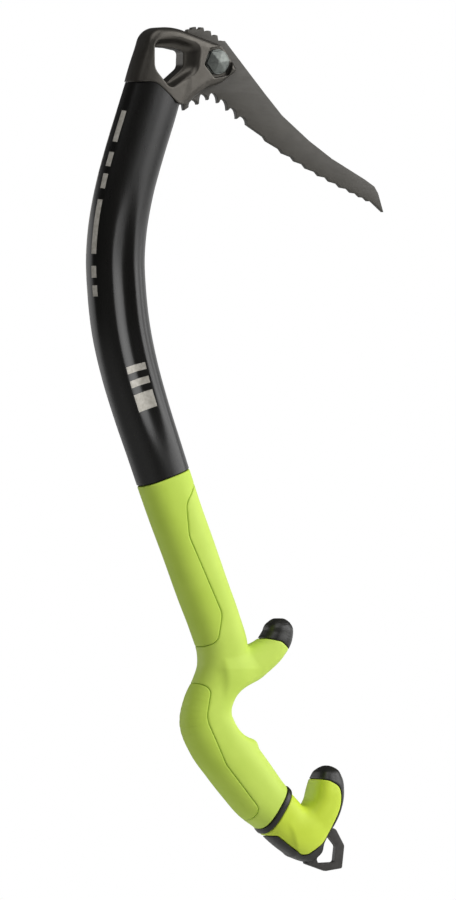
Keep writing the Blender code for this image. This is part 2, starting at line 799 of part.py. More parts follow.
def make_insert(look):
    """Threaded plug bonded into the foot of the tube; the hook unit locates on its nose."""
    path = [on_axis(d) + PLUG_SIZE for d in (PLUG_START, PLUG_END)]
    insert = loft("shaft_end_insert", path, 2, ends=(AXIS, AXIS))
    thread = cutter(rod("insert_thread", on_axis(-4.0), on_axis(20.0), SCREW_RADIUS + GAP))
    return keep(boolean(insert, thread), look)


def make_screw(look):
    screw = rod("pommel_screw", on_axis(-0.1), on_axis(SCREW_SEAT), SCREW_RADIUS)
    top = SCREW_SEAT + SCREW_HEAD_THICK
    head = cutter(rod("screw_head", on_axis(SCREW_SEAT), on_axis(top), SCREW_HEAD_RADIUS))
    boolean(screw, head, "UNION")
    key = cutter(rod("screw_key", on_axis(27.2), on_axis(34.0), 2.3, 6))
    boolean(screw, key)
    x, z = on_axis(SCREW_SEAT)
    move_origin(screw, x, 0.0, z)
    return keep(screw, look)


clear()
PARTS = collection("ice_axe")
CUTTERS = collection("cutters", hidden=True)

CAST = material("cast_steel", (0.075, 0.068, 0.060), 0.42, 0.9)
PLATE = material("pick_steel", (0.085, 0.080, 0.070), 0.45, 0.9)
FASTENER = material("fastener_steel", (0.10, 0.105, 0.105), 0.35, 1.0)
BLACK = material("anodised_black", (0.018, 0.018, 0.017), 0.35, 0.6)
GREEN = material("lime_moulding", (0.42, 0.64, 0.05), 0.55)
GREEN_SOFT = material("lime_soft_pad", (0.40, 0.62, 0.05), 0.62)
GREEN_HOOK = material("lime_hook", (0.48, 0.66, 0.03), 0.50)
PLASTIC = material("black_plastic", (0.02, 0.02, 0.02), 0.45)
PLUG = material("plug_alloy", (0.55, 0.56, 0.57), 0.4, 1.0)

make_head(CAST)
make_pick(PLATE)
make_pick_fasteners(FASTENER)
make_shaft(BLACK)
make_chassis(GREEN)
make_pad("back_pad", BACK_PAD, GREEN_SOFT)
make_pad("palm_pad", PALM_PAD, GREEN_SOFT)
make_cap(PLASTIC)
make_ring(PLASTIC)
make_pommel(GREEN_HOOK)
make_frame(PLASTIC)
make_spike(FASTENER)
make_insert(PLUG)
make_screw(FASTENER)
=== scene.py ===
"""Looks of a technical ice axe: cast head, bolted pick, curved tube shaft and a moulded handle.

Lengths are in millimetres and are turned into metres when a mesh is made.
X runs towards the pick tip, Z runs up, Y runs through the thickness. The front is towards -Y.
Rounded pieces are written as distance fields, which blend one shape into the next as a casting
or a moulding does, and are turned into meshes on a fine grid.
"""

import math

import bmesh
import bpy
import numpy as np
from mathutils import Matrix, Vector


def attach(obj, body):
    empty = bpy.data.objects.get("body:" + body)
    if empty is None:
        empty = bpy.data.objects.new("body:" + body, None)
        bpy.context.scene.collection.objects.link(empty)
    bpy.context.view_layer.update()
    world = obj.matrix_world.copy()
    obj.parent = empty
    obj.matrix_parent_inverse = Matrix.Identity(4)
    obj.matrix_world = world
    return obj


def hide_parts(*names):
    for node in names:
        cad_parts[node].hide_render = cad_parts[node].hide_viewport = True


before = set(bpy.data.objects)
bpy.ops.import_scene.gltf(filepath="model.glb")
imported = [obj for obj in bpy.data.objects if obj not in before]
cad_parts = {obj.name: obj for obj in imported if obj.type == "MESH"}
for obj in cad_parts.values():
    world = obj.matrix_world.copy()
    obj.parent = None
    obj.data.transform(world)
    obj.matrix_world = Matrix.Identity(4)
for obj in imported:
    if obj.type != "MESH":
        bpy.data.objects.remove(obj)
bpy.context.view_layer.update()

MM = 0.001
GAP = 0.3  # clear space between two separate pieces
ROUND = 2.6  # power of the superellipse that the shaft and handle sections follow

# Path of the shaft: x, z, half depth in the XZ plane, half width along Y.
SHAFT_PATH = (
    (-3.0, -2.0, 16.6, 11.6),
    (-11.2, -27.8, 17.0, 11.9),
    (-18.9, -51.0, 17.0, 12.0),
    (-25.7, -74.2, 17.0, 12.0),
    (-30.2, -97.4, 17.1, 12.0),
    (-31.5, -115.0, 17.1, 12.0),
    (-30.7, -132.2, 17.1, 12.0),
    (-27.9, -155.4, 17.1, 12.0),
    (-22.5, -178.6, 16.8, 12.0),
    (-15.2, -201.8, 16.4, 12.0),
    (-6.9, -225.0, 16.0, 12.0),
    (-1.45, -240.3, 15.8, 12.0),
)
# Inside the handle the tube is swaged down and follows the bend of the handle.
SWAGED_PATH = (
    (-1.3, -240.7, 11.0, 8.5),
    (5.7, -259.8, 10.6, 8.4),
    (14.9, -283.0, 10.0, 8.4),
    (23.8, -306.2, 10.0, 8.4),
    (31.3, -325.5, 9.8, 8.4),
    (36.0, -341.0, 9.4, 8.4),
    (36.0, -352.0, 9.2, 8.4),
    (31.6, -364.0, 9.0, 8.4),
    (28.2, -373.0, 9.0, 8.4),
    (28.4, -382.0, 9.0, 8.4),
    (33.0, -393.0, 9.2, 8.4),
    (41.4, -405.4, 9.4, 8.4),
    (51.0, -417.4, 9.4, 8.4),
    (61.3, -427.7, 9.4, 8.4),
)
# Outside of the handle, same columns.
HANDLE_PATH = (
    (-1.18, -241.05, 15.8, 12.4),
    (5.7, -259.8, 15.4, 13.0),
    (14.9, -283.0, 15.1, 13.4),
    (23.8, -306.2, 14.9, 13.6),
    (31.5, -325.5, 14.6, 13.6),
    (36.3, -341.0, 14.4, 13.4),
    (36.2, -352.0, 14.2, 13.2),
    (31.6, -364.0, 13.7, 13.2),
    (27.6, -373.0, 14.3, 13.4),
    (26.8, -382.0, 15.8, 13.8),
    (31.9, -392.8, 16.5, 14.2),
    (41.3, -404.6, 16.8, 14.5),
    (50.9, -416.3, 16.5, 14.5),
    (60.4, -427.3, 15.7, 14.3),
    (66.9, -432.9, 14.6, 14.0),
)
UPPER_HOOK_PATH = (
    (36.0, -354.0, 11.0, 11.8),
    (47.4, -351.6, 11.8, 11.8),
    (58.0, -346.6, 9.8, 11.4),
    (66.8, -340.0, 8.5, 11.0),
    (71.3, -332.4, 8.2, 10.2),
    (72.0, -326.4, 6.8, 8.6),
    (72.0, -322.9, 3.2, 5.0),
)
FINGER_RIDGE_PATH = (
    (42.0, -398.0, 8.5, 12.0),
    (50.0, -396.6, 7.2, 11.0),
    (54.6, -396.4, 5.0, 9.0),
    (57.0, -396.4, 2.0, 5.5),
)
# Round hollow above the ridge: its middle and half sizes.
FINGER_CROOK = ((57.4, -377.2), (17.0, 15.4))
PAD_DEPTH = 2.6  # depth of the pockets that the soft pads lie in
SEAM_ROUND = 0.55  # radius of the edges on both sides of a pad seam

# The lower hook unit slides on and off along this direction.
POMMEL_TILT = math.radians(-45.0)
AXIS = np.array((math.cos(POMMEL_TILT), math.sin(POMMEL_TILT)))
AXIS_POINT = np.array((68.0, -434.4))
# The spacer ring lies askew to that axis, between two parallel planes.
RING_TILT = math.radians(-32.0)
RING_NORMAL = np.array((math.cos(RING_TILT), math.sin(RING_TILT)))
RING_CENTRE = np.array((68.6, -434.2))
RING_WIDTH = 3.3
RING_SIZE = (15.1, 14.4)
POMMEL_BODY_PATH = (
    (70.0, -436.2, 14.2, 13.8),
    (77.9, -443.8, 13.7, 13.6),
    (86.4, -451.6, 12.2, 12.6),
    (91.4, -457.5, 9.5, 10.2),
    (95.0, -462.0, 5.6, 6.2),
)
LOWER_HOOK_PATH = (
    (78.0, -450.0, 10.0, 12.6),
    (87.0, -447.6, 10.6, 13.4),
    (94.6, -440.6, 10.0, 13.8),
    (99.9, -431.6, 9.4, 14.0),
    (101.9, -422.4, 8.9, 13.6),
    (102.4, -415.2, 7.2, 11.8),
    (102.2, -410.6, 4.4, 8.0),
    (102.0, -408.8, 1.8, 3.4),
)
LOWER_HOOK_ROUND = 3.2

BOLT = (30.8, 0.3)  # x, z of the bolt that holds the pick
BOLT_RADIUS = 4.0
BOLT_FLATS = 13.0
POCKET_FLATS = 17.6  # a little wider than the CAD's, to leave a dark gap round the bolt
POCKET_TURN = math.radians(10.0)
POCKET_FLOOR = 4.5
SLOT_HALF = 2.3
PICK_HALF = 2.0
CHEEK_HALF = 10.8
SCREW_RADIUS = 2.5
SCREW_HEAD_RADIUS = 4.25
SCREW_SEAT = 24.9  # from the start of the axis to the underside of the foot screw's head
SCREW_HEAD_THICK = 5.0
NUT_THICK = 4.4
WASHER_RADIUS = 7.4
WASHER_THICK = 1.0
KEY_DEPTH, KEY_HALF = 2.7, 2.0  # depth and half width across flats of the foot screw's key hole
PLUG_SIZE = (7.2, 6.2)  # half sizes of the plug in the foot of the tube
SHAFT_WALL = 1.6
THROUGH = 12.0  # beyond this distance along the axis a bore has broken through
MOULD_STEP = 0.4  # spacing of the grid that most pieces are worked out on
FINE_STEP = 0.25

# Seam between head and shaft, from the back of the shaft to the pick side: x, z, radius.
HEAD_SEAM = ((-45.0, -12.2, 0), (-11.0, -11.4, 9), (4.0, -24.4, 6), (40.0, -25.6, 0))


# ---------------------------------------------------------------- outlines


def rounded(corners, steps=6):
    """Outline through corners given as x, z, radius, with every corner turned by an arc."""
    points = []
    total = len(corners)
    for i, (x, z, radius) in enumerate(corners):
        here = Vector((x, z))
        back = (Vector(corners[i - 1][:2]) - here).normalized()
        ahead = (Vector(corners[(i + 1) % total][:2]) - here).normalized()
        if radius <= 0:
            points.append(tuple(here))
            continue
        half = back.angle(ahead) / 2
        centre = here + (back + ahead).normalized() * (radius / math.sin(half))
        start = here + back * (radius / math.tan(half)) - centre
        end = here + ahead * (radius / math.tan(half)) - centre
        sweep = start.angle_signed(end)
        for k in range(steps + 1):
            turn = -sweep * k / steps
            c, s = math.cos(turn), math.sin(turn)
            points.append((centre.x + c * start.x - s * start.y, centre.y + s * start.x + c * start.y))
    return points


def hexagon(centre, flats, turn):
    radius = flats / math.sqrt(3)
    angles = [turn + math.pi * k / 3 for k in range(6)]
    return [(centre[0] + radius * math.cos(a), centre[1] + radius * math.sin(a)) for a in angles]


def from_bolt(grid):
    """Distance of each point from the axis of the pick bolt."""
    return np.sqrt((grid.x - BOLT[0]) ** 2 + (grid.z - BOLT[1]) ** 2)


def on_axis(distance):
    """A point on the axis of the lower hook unit, measured towards the foot."""
    return tuple(AXIS_POINT + distance * AXIS)


def ring_side(grid, distance):
    """How far each point lies beyond a plane of the spacer ring, towards the foot."""
    start = (RING_CENTRE + distance * RING_NORMAL) @ RING_NORMAL
    return grid.x * RING_NORMAL[0] + grid.z * RING_NORMAL[1] - start + 0 * grid.y


def resample(path, count):
    """Rows of a path spread evenly along a smooth curve through them."""
    rows = np.array(path, dtype=float)
    at = np.concatenate([[0.0], np.cumsum(np.linalg.norm(np.diff(rows[:, :2], axis=0), axis=1))])
    slopes = np.gradient(rows, at, axis=0)
    wanted = np.linspace(0.0, at[-1], count)
    i = np.clip(np.searchsorted(at, wanted, side="right") - 1, 0, len(rows) - 2)
    h = (at[i + 1] - at[i])[:, None]
    t = (wanted - at[i])[:, None] / h
    first = (1 + 2 * t) * (1 - t) ** 2 * rows[i] + t * (1 - t) ** 2 * h * slopes[i]
    second = t * t * (3 - 2 * t) * rows[i + 1] + t * t * (t - 1) * h * slopes[i + 1]
    return first + second


# ---------------------------------------------------------------- distance fields


class Grid:
    """Evenly spaced points over a box; fields on it are arrays of distances, negative inside."""

    def __init__(self, low, high, step):
        self.step = step
        self.low = np.array(low, dtype=float)
        counts = np.ceil((np.array(high) - self.low) / step).astype(int) + 1
        axes = [self.low[k] + step * np.arange(counts[k]) for k in range(3)]
        self.x = axes[0][:, None, None]
        self.y = axes[1][None, :, None]
        self.z = axes[2][None, None, :]

    def flat(self):
        """Points of the XZ plane as one list, and the shape that puts a list back on the grid."""
        x, z = np.meshgrid(self.x.ravel(), self.z.ravel(), indexing="ij")
        return np.stack([x.ravel(), z.ravel()], axis=1), (x.shape[0], 1, x.shape[1])


def outline_field(grid, outline):
    """Distance to a closed outline in the XZ plane."""
    points, shape = grid.flat()
    corners = np.array(outline, dtype=float)
    nearest = np.full(len(points), np.inf)
    inside = np.zeros(len(points), dtype=bool)
    for a, b in zip(corners, np.roll(corners, -1, axis=0)):
        edge, offset = b - a, points - a
        t = np.clip(offset @ edge / max(edge @ edge, 1e-12), 0.0, 1.0)
        nearest = np.minimum(nearest, np.linalg.norm(offset - t[:, None] * edge, axis=1))
        crosses = (a[1] > points[:, 1]) != (b[1] > points[:, 1])
        rise = edge[1] if edge[1] != 0 else 1e-12
        inside ^= crosses & (points[:, 0] < a[0] + offset[:, 1] * edge[0] / rise)
    return np.where(inside, -nearest, nearest).reshape(shape)


def path_places(grid, path, count):
    """For each XZ point: place along a path, offset across it and the section's two half sizes."""
    points, shape = grid.flat()
    rows = resample(path, count)
    best = np.full(len(points), np.inf)
    along, across = np.zeros(len(points)), np.zeros(len(points))
    sizes = np.zeros((len(points), 2))
    run = 0.0
    last = len(rows) - 2
    for i in range(len(rows) - 1):
        a, b = rows[i, :2], rows[i + 1, :2]
        length = np.linalg.norm(b - a)
        tangent = (b - a) / length
        offset = points - a
        raw = offset @ tangent / length
        t = np.clip(raw, 0.0, 1.0)
        distance = np.linalg.norm(offset - (t * length)[:, None] * tangent, axis=1)
        closer = distance < best
        best[closer] = distance[closer]
        open_t = np.clip(raw, -np.inf if i == 0 else 0.0, np.inf if i == last else 1.0)
        along[closer] = (run + open_t * length)[closer]
        side = offset[:, 1] * tangent[0] - offset[:, 0] * tangent[1]
        across[closer] = side[closer]
        sizes[closer] = (rows[i, 2:] + t[:, None] * (rows[i + 1, 2:] - rows[i, 2:]))[closer]
        run += length
    return [v.reshape(shape) for v in (along, across, sizes[:, 0], sizes[:, 1])] + [run]


def sweep(grid, path, count=60, grow=0.0, power=ROUND, ends=(0.0, 0.0), end_round=1.0):
    """A superellipse section swept along a path, its ends moved out by ends and their rims rounded."""
    along, across, depth, width, total = path_places(grid, path, count)
    u, v = np.abs(across) / (depth + grow), np.abs(grid.y) / (width + grow)
    size = (u**power + v**power) ** (1.0 / power)
    reach = np.sqrt(across**2 + grid.y**2)
    tube = reach * (1.0 - 1.0 / np.maximum(size, 1e-3))
    caps = np.maximum(-along - ends[0], along - total - ends[1])
    return meet(tube, np.broadcast_to(caps, tube.shape), end_round)


def join(a, b, k):
    """Union with a fillet about k wide."""
    h = np.clip(0.5 + 0.5 * (b - a) / k, 0.0, 1.0)
    return b + (a - b) * h - k * h * (1.0 - h)


def meet(a, b, k):
    """Intersection with its edge rounded about k wide."""
    return -join(-a, -b, k)


def cut(a, b, k):
    """a without b, with the edge of the hole rounded about k wide."""
    return meet(a, -b, k)


def rod_field(grid, start, end, radius):
    """A round bar in the XZ plane with flat ends."""
    start, end = np.array(start), np.array(end)
    length = np.linalg.norm(end - start)
    tangent = (end - start) / length
    along = (grid.x - start[0]) * tangent[0] + (grid.z - start[1]) * tangent[1]
    across = (grid.z - start[1]) * tangent[0] - (grid.x - start[0]) * tangent[1]
    return np.maximum(np.sqrt(across**2 + grid.y**2) - radius, np.maximum(-along, along - length))


# ---------------------------------------------------------------- meshes


def surface(name, grid, field):
    """Mesh of the zero level of a field: one point in each crossed cell, one face on each crossed edge."""
    inside = field < 0
    shape = np.array(field.shape) - 1
    total = int(np.prod(shape))
    sums = np.zeros((3, total))
    counts = np.zeros(total)
    crossings = []
    for axis in range(3):
        low = tuple(slice(0, -1) if k == axis else slice(None) for k in range(3))
        high = tuple(slice(1, None) if k == axis else slice(None) for k in range(3))
        at = np.argwhere(inside[low] != inside[high])
        a, b = field[low][tuple(at.T)], field[high][tuple(at.T)]
        place = at.astype(float)
        place[:, axis] += a / (a - b)
        ring = []
        for first, second in ((0, 0), (-1, 0), (-1, -1), (0, -1)):
            cell = at.copy()
            cell[:, (axis + 1) % 3] += first
            cell[:, (axis + 2) % 3] += second
            index = np.ravel_multi_index(tuple(np.clip(cell, 0, shape - 1).T), shape)
            counts += np.bincount(index, minlength=total)
            for k in range(3):
                sums[k] += np.bincount(index, weights=place[:, k], minlength=total)
            ring.append(index)
        quads = np.stack(ring, axis=1)
        turned = ~inside[low][tuple(at.T)]
        quads[turned] = quads[turned][:, ::-1]
        crossings.append(quads)
    cells = np.flatnonzero(counts)
    number = np.full(total, -1)
    number[cells] = np.arange(len(cells))
    middle = (sums[:, cells] / counts[cells]).T
    points = (grid.low + settle(field, middle) * grid.step) * MM
    faces = number[np.concatenate(crossings)]
    mesh = bpy.data.meshes.new(name)
    mesh.vertices.add(len(points))
    mesh.vertices.foreach_set("co", points.ravel())
    mesh.loops.add(faces.size)
    mesh.loops.foreach_set("vertex_index", faces.ravel())
    mesh.polygons.add(len(faces))
    mesh.polygons.foreach_set("loop_start", np.arange(0, faces.size, 4))
    mesh.polygons.foreach_set("use_smooth", np.ones(len(faces), dtype=bool))
    mesh.update(calc_edges=True)
    return bpy.data.objects.new(name, mesh)


def read_field(field, places):
    """Values of a field between its grid points."""
    base = np.clip(np.floor(places).astype(int), 0, np.array(field.shape) - 2)
    t = places - base
    total = np.zeros(len(places))
    for corner in range(8):
        step = np.array([(corner >> k) & 1 for k in range(3)])
        share = np.prod(np.where(step, t, 1.0 - t), axis=1)
        total += share * field[tuple((base + step).T)]
    return total


def settle(field, places, rounds=3):
    """Moves the points of a surface onto the zero level of its field."""
    reach = 0.5
    for _ in range(rounds):
        value = read_field(field, places)
        slope = np.zeros_like(places)
        for axis in range(3):
            shift = np.zeros(3)
            shift[axis] = reach
            slope[:, axis] = read_field(field, places + shift) - read_field(field, places - shift)
        square = np.maximum((slope**2).sum(axis=1), 1e-6)
        step = -(value / square)[:, None] * slope
        places = places + np.clip(step, -0.4, 0.4)
    return places


def plate(name, outline, half, bevel, steps=3):
    """A plate cut to an XZ outline, with its edges rounded."""
    curve = bpy.data.curves.new(name, "CURVE")
    curve.dimensions = "2D"
    curve.fill_mode = "BOTH"
    curve.extrude = (half - bevel) * MM
    curve.bevel_depth = bevel * MM
    curve.bevel_resolution = steps
    curve.offset = -bevel * MM
    spline = curve.splines.new("POLY")
    spline.points.add(len(outline) - 1)
    for point, (x, z) in zip(spline.points, outline):
        point.co = (x * MM, z * MM, 0.0, 1.0)
    spline.use_cyclic_u = True
    shape = bpy.data.objects.new(name + "_curve", curve)
    mesh = bpy.data.meshes.new_from_object(shape)
    bpy.data.objects.remove(shape)
    bm = bmesh.new()
    bm.from_mesh(mesh)
    bmesh.ops.remove_doubles(bm, verts=bm.verts, dist=0.00001)
    for vert in bm.verts:
        vert.co = Vector((vert.co.x, -vert.co.z, vert.co.y))
    bmesh.ops.recalc_face_normals(bm, faces=bm.faces)
    bm.to_mesh(mesh)
    bm.free()
    return bpy.data.objects.new(name, mesh)


def skin(name, rings):
    """A closed mesh through rings of the same number of points, given in millimetres."""
    n = len(rings[0])
    points = np.concatenate(rings) * MM
    faces = []
    for i in range(len(rings) - 1):
        for k in range(n):
            a, b = i * n + k, i * n + (k + 1) % n
            faces.append((a, b, b + n, a + n))
    faces.append(tuple(range(n))[::-1])
    faces.append(tuple(range((len(rings) - 1) * n, len(rings) * n)))
    mesh = bpy.data.meshes.new(name)
    mesh.from_pydata(points.tolist(), [], faces)
    bm = bmesh.new()
    bm.from_mesh(mesh)
    bmesh.ops.recalc_face_normals(bm, faces=bm.faces)
    bm.to_mesh(mesh)
    bm.free()
    return bpy.data.objects.new(name, mesh)


def boolean(target, tool, operation="DIFFERENCE"):
    """Applies one solid to another and removes the tool."""
    for obj in (target, tool):
        if not obj.users_collection:
            bpy.context.scene.collection.objects.link(obj)
    modifier = target.modifiers.new("cut", "BOOLEAN")
    modifier.solver = "EXACT"
    modifier.operation = operation
    modifier.object = tool
    bpy.context.view_layer.update()
    done = bpy.data.meshes.new_from_object(target.evaluated_get(bpy.context.evaluated_depsgraph_get()))
    target.modifiers.clear()
    target.data = done
    bpy.data.objects.remove(tool)
    return target


def prism(name, outline, near, far):
    """A solid over an XZ outline, from Y = near to Y = far."""
    rings = [np.array([(x, y, z) for x, z in outline]) for y in (near, far)]
    return skin(name, rings)


def circle(centre, radius, sides=64):
    angles = [2 * math.pi * k / sides for k in range(sides)]
    return [(centre[0] + radius * math.cos(a), centre[1] + radius * math.sin(a)) for a in angles]


def finish_piece(obj, look, body, nodes, sharp=None):
    """Gives a piece its material, its body and the CAD nodes that it stands for."""
    if not obj.users_collection:
        bpy.context.scene.collection.objects.link(obj)
    if look is not None:
        obj.data.materials.clear()
        obj.data.materials.append(look)
    if sharp is not None:
        smooth_by_angle(obj.data, sharp)
    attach(obj, body)
    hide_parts(*nodes)
    return obj


def smooth_by_angle(mesh, angle):
    """Smooth shading except over edges that turn by more than angle degrees."""
    mesh.polygons.foreach_set("use_smooth", np.ones(len(mesh.polygons), dtype=bool))
    mesh.set_sharp_from_angle(angle=math.radians(angle))


# ---------------------------------------------------------------- head

HEAD_OUTLINE = (
    (-29.1, -38.0, 0),
    (-12.9, 19.6, 11),
    (2.0, 20.4, 34),
    (34.6, 9.6, 10),
    (43.8, -4.4, 2),
    (33.5, -11.9, 5),
    (24.5, -14.9, 8),
    (15.5, -20.6, 5),
    (8.5, -27.5, 2),
    (4.0, -38.0, 0),
)
CLIP_HOLE = (
    (-9.8, 8.8, 2.4),
    (0.6, 8.2, 12),
    (9.3, 6.4, 2.6),
    (9.0, -3.2, 5),
    (-2.0, -12.4, 2),
    (-9.6, -3.0, 8),
)
CLIP_BOWL = (
    (-11.0, 12.4, 5),
    (3.0, 13.6, 16),
    (17.4, 9.6, 5),
    (15.6, -5.4, 8),
    (-1.6, -15.4, 4),
    (-11.2, -4.0, 8),
)
BOWL_LIP = 5.6  # half thickness of the wall round the clip hole
SLOT_CORNERS = ((11.8, 40.0), (11.8, -12.0), (9.9, -22.0), (9.9, -60.0), (70.0, -60.0), (70.0, 40.0))


def seam_region(shift, above):
    """Outline of everything above or below the head seam, moved by shift along Z."""
    closing = (-45.0, 60.0, 0)
    line = [(x, z + shift) for x, z in rounded(HEAD_SEAM + (closing,), 10)[:-1]]
    far = 60.0 if above else -70.0
    return line + [(40.0, far), (-45.0, far)]


def make_head(look):
    grid = Grid((-46.0, -12.6, -42.0), (46.0, 12.6, 24.0), MOULD_STEP)
    taper = np.interp(grid.x, (-60.0, 12.0, 46.0), (CHEEK_HALF + 0.6, CHEEK_HALF, 8.4))
    cheeks = meet(outline_field(grid, rounded(HEAD_OUTLINE, 10)) + 0 * grid.y, np.abs(grid.y) - taper, 5.5)
    neck = sweep(grid, ((1.5, 12.0, 14.0, 9.0),) + SHAFT_PATH[:3], 24, end_round=4.0)
    head = join(cheeks, neck, 3.0)
    # The head comes right down to the seam line and the tube stays half a gap below it.
    below = outline_field(grid, seam_region(0.0, False))
    head = cut(head, below + 0 * grid.y, 0.2)
    spigot = sweep(grid, SHAFT_PATH[:3], 24, grow=-SHAFT_WALL - GAP)
    head = np.minimum(head, spigot)
    hole = outline_field(grid, rounded(CLIP_HOLE, 10))
    bowl = outline_field(grid, rounded(CLIP_BOWL, 10))
    share = np.clip(hole / np.maximum(hole - bowl, 0.2), 0.0, 2.0)
    level = BOWL_LIP + (CHEEK_HALF - BOWL_LIP) * share**2.4
    head = cut(head, (level - np.abs(grid.y)) * 0.6, 2.2)
    head = cut(head, hole + 0 * grid.y, 0.4)
    slot = np.maximum(outline_field(grid, SLOT_CORNERS), np.abs(grid.y) - SLOT_HALF)
    head = cut(head, slot, 0.4)
    pocket = outline_field(grid, hexagon(BOLT, POCKET_FLATS, POCKET_TURN)) + 0 * grid.y
    head = cut(head, np.maximum(pocket, POCKET_FLOOR - np.abs(grid.y)), 0.5)
    head = np.maximum(head, -(from_bolt(grid) - BOLT_RADIUS - GAP))
    return finish_piece(surface("cast_head", grid, head), look, "axe", ["head"])


# Blunt teeth on top of the pick: both ends of each tip, and the depth of the notch after it.
TOP_TEETH = (
    (13.4, 18.8, 14.6, 19.2, 0.4),
    (16.2, 20.1, 18.7, 20.6, 1.6),
    (21.6, 20.4, 23.6, 20.2, 2.1),
    (26.4, 18.5, 28.2, 18.2, 2.6),
    (30.9, 16.1, 32.5, 15.7, 2.9),
)
# Hooked teeth behind the saw edge: tip, width of its blunt end, and the top of the gullet after it.
HOOK_TEETH = (
    (11.3, -28.0, 2.8, 16.4, -21.9),
    (19.8, -24.6, 1.0, 22.4, -18.4),
    (26.3, -21.9, 0.8, 29.4, -17.6),
    (32.8, -23.6, 1.1, 35.7, -21.3),
    (38.9, -27.9, 1.1, 42.0, -26.4),
    (44.8, -32.7, 1.5, 47.9, -31.3),
)
SAW_TIPS = (
    (51.3, -36.0),
    (64.0, -45.5),
    (74.2, -52.5),
    (82.1, -57.1),
    (89.4, -61.2),
    (97.4, -65.5),
    (104.3, -68.7),
    (111.3, -72.2),
    (118.0, -75.1),
    (123.7, -77.7),
    (128.6, -80.0),
)
# From a tip back to the root before it: at the first tip, at the last.
SAW_STEP = ((-1.8, 2.7), (-2.4, 2.1))
SPINE = ((35.4, 12.6), (37.2, 12.6), (62.8, -18.0), (73.6, -30.4), (90.7, -44.9), (105.3, -55.3))
PICK_NOSE = ((126.6, -67.4), (132.6, -71.4), (135.0, -75.4), (138.3, -86.3), (131.0, -80.0))


def quarter(start, end, upright, steps=7):
    """A quarter of an ellipse that leaves start upright and meets end level, or the other way round."""
    points = []
    for k in range(1, steps + 1):
        angle = math.pi / 2 * k / steps
        fast, slow = math.sin(angle), 1.0 - math.cos(angle)
        share_x, share_z = (slow, fast) if upright else (fast, slow)
        points.append((start[0] + (end[0] - start[0]) * share_x, start[1] + (end[1] - start[1]) * share_z))
    return points


def top_edge():
    """Blunt teeth, each with an upright step behind it and a hollow that rises to the next."""
    line = [(13.2, 16.6)]
    starts = [tooth[:2] for tooth in TOP_TEETH[1:]] + [SPINE[0]]
    for (left_x, left_z, right_x, right_z, drop), following in zip(TOP_TEETH, starts):
        root = (right_x + 0.5, right_z - drop)
        line += [(left_x, left_z), (right_x, right_z), root]
        line += quarter(root, following, False)[:-1]
    return line


def under_edge():
    """Hooked teeth with round gullets, then the saw teeth, from the head to the tip."""
    line = []
    starts = [tooth[:2] for tooth in HOOK_TEETH[1:]] + [SAW_TIPS[0]]
    for (tip_x, tip_z, blunt, gullet_x, gullet_z), following in zip(HOOK_TEETH, starts):
        heel = (tip_x + blunt, tip_z + blunt * 0.65)
        line += [(tip_x, tip_z), heel]
        line += quarter(heel, (gullet_x, gullet_z), True)
        line += quarter((gullet_x, gullet_z), following, False)[:-1]
    for i, (x, z) in enumerate(SAW_TIPS):
        t = i / (len(SAW_TIPS) - 1)
        step_x = SAW_STEP[0][0] + t * (SAW_STEP[1][0] - SAW_STEP[0][0])
        step_z = SAW_STEP[0][1] + t * (SAW_STEP[1][1] - SAW_STEP[0][1])
        if i > 0:
            line.append((x + step_x, z + step_z))
        line.append((x, z))
    return line


def pick_outline():
    back = [(10.6, -23.6), (12.4, -13.0), (12.2, 4.0)]
    return top_edge() + list(SPINE) + list(PICK_NOSE) + under_edge()[::-1] + back


def make_pick(look):
    pick = plate("pick_blade", pick_outline(), PICK_HALF, 0.25)
    boolean(pick, prism("pick_bore", circle(BOLT, BOLT_RADIUS + GAP), -6.0, 6.0))
    return finish_piece(pick, look, "axe", ["pick"], 30)


# ---------------------------------------------------------------- shaft


SHAFT_SIDES = 160
FLUTE = (0.0, 8.0, 2.4)  # shallow groove on both flat sides: place across the tube, half width, depth
CREASE = (9.4, 1.8, 0.4)  # a fine one beside it
FLUTE_FADE = (-238.0, -172.0, -135.0, -62.0)  # heights between which the grooves fade in and out
# Printed bars near the back edge: rows of the tube that each one covers.
BACK_BARS = ((16, 25), (28, 32), (34, 38), (41, 55), (58, 61), (63, 66))
BACK_BAR_SIDES = (85, 93)
FRONT_BARS = ((86, 88), (90, 92), (94, 99))
FRONT_BAR_SIDES = (112, 126)


def groove(across, place, half, depth):
    """Depth of a round-bottomed groove at each distance across the tube."""
    return depth * np.cos(np.clip((across - place) / half, -1.0, 1.0) * math.pi / 2) ** 2


def tube_rings(rows):
    """Superellipse rings along the rows, with the grooves pressed into both flat sides."""
    along = np.gradient(rows[:, :2], axis=0)
    along /= np.linalg.norm(along, axis=1)[:, None]
    angles = 2 * math.pi * (np.arange(SHAFT_SIDES) + 0.5) / SHAFT_SIDES
    c, s = np.cos(angles), np.sin(angles)
    u = np.sign(c) * np.abs(c) ** (2 / ROUND)
    v = np.sign(s) * np.abs(s) ** (2 / ROUND)
    rings = []
    for row, tangent in zip(rows, along):
        across, width = u * row[2], v * row[3]
        share = np.interp(row[1], FLUTE_FADE, (0.0, 1.0, 1.0, 0.0))
        share = share * share * (3.0 - 2.0 * share)
        width -= np.sign(v) * share * (groove(across, *FLUTE) + groove(across, *CREASE))
        x, z = row[0] - across * tangent[1], row[1] + across * tangent[0]
        rings.append(np.stack([x, width, z], axis=1))
    return rings


def print_bars(mesh, rings, bars, sides):
    """Gives the faces under each bar the second material, on one flat side and on the other."""
    first, last = sides
    for start, end in bars:
        for ring in range(start, min(end, rings - 1)):
            for k in range(first, last):
                for side in (k, SHAFT_SIDES - 1 - k):
                    mesh.polygons[ring * SHAFT_SIDES + side].material_index = 1


